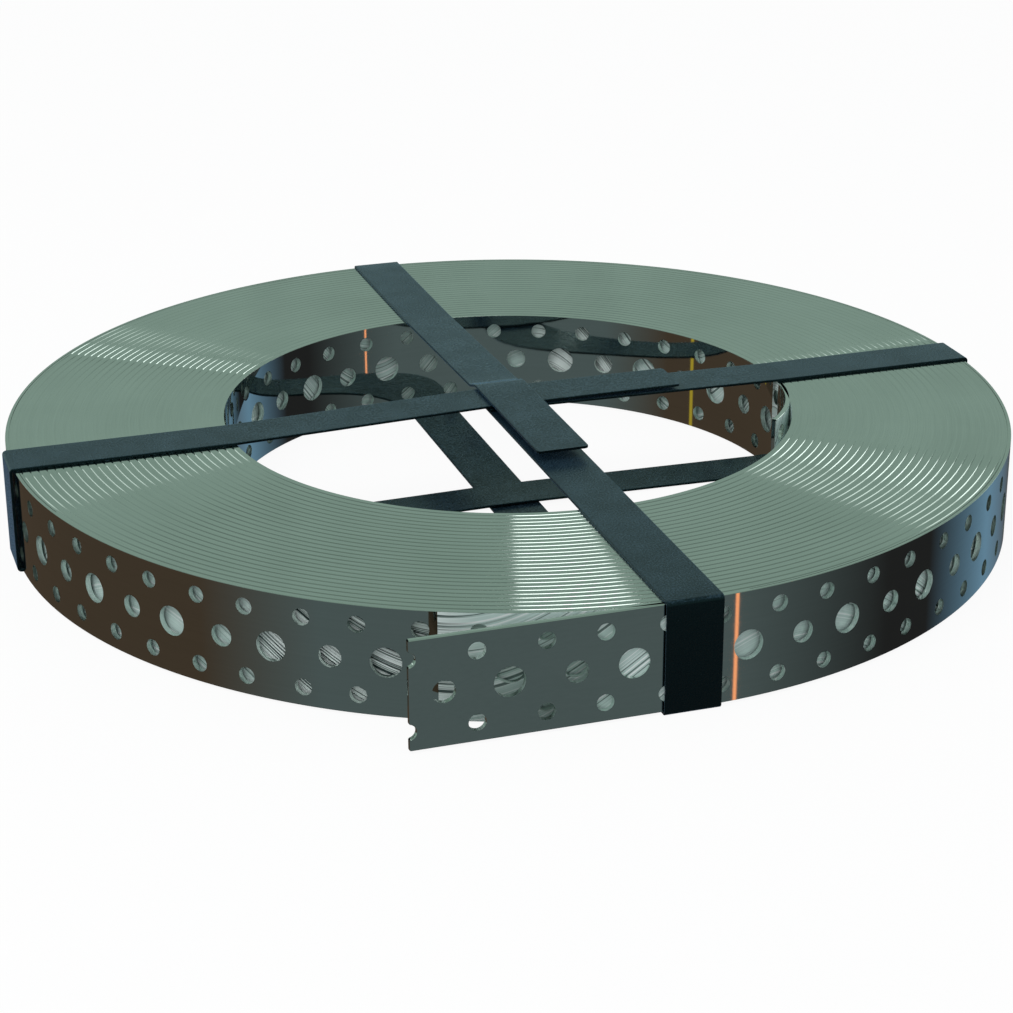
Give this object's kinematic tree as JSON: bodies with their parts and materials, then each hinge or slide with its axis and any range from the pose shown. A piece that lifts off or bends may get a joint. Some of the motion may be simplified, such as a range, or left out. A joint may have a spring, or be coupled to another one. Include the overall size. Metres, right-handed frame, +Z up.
{
  "type": "steel coil",
  "caption": "Flat coil of perforated steel strip, lying on its side, with a straight free end, an open bore and two packing straps crossed over it.",
  "frame": {"origin": "on the coil's axis at the floor, the underside of the front strap where the straps cross", "axes": "+Z up along the coil's axis; -Y to the strap over which the free end leaves the coil, which runs along Y; -X the way the free end points; the other strap runs along X"},
  "size_m": [0.399, 0.399, 0.0465],
  "materials": {
    "steel": "bright rolled steel, smooth on the faces, duller on the cut edges",
    "strap": "dark blue-black packing strap, satin"
  },
  "bodies": {
    "root": {"perforated_strip": "steel", "front_strap": "strap", "cross_strap": "strap"}
  },
  "joints": []
}
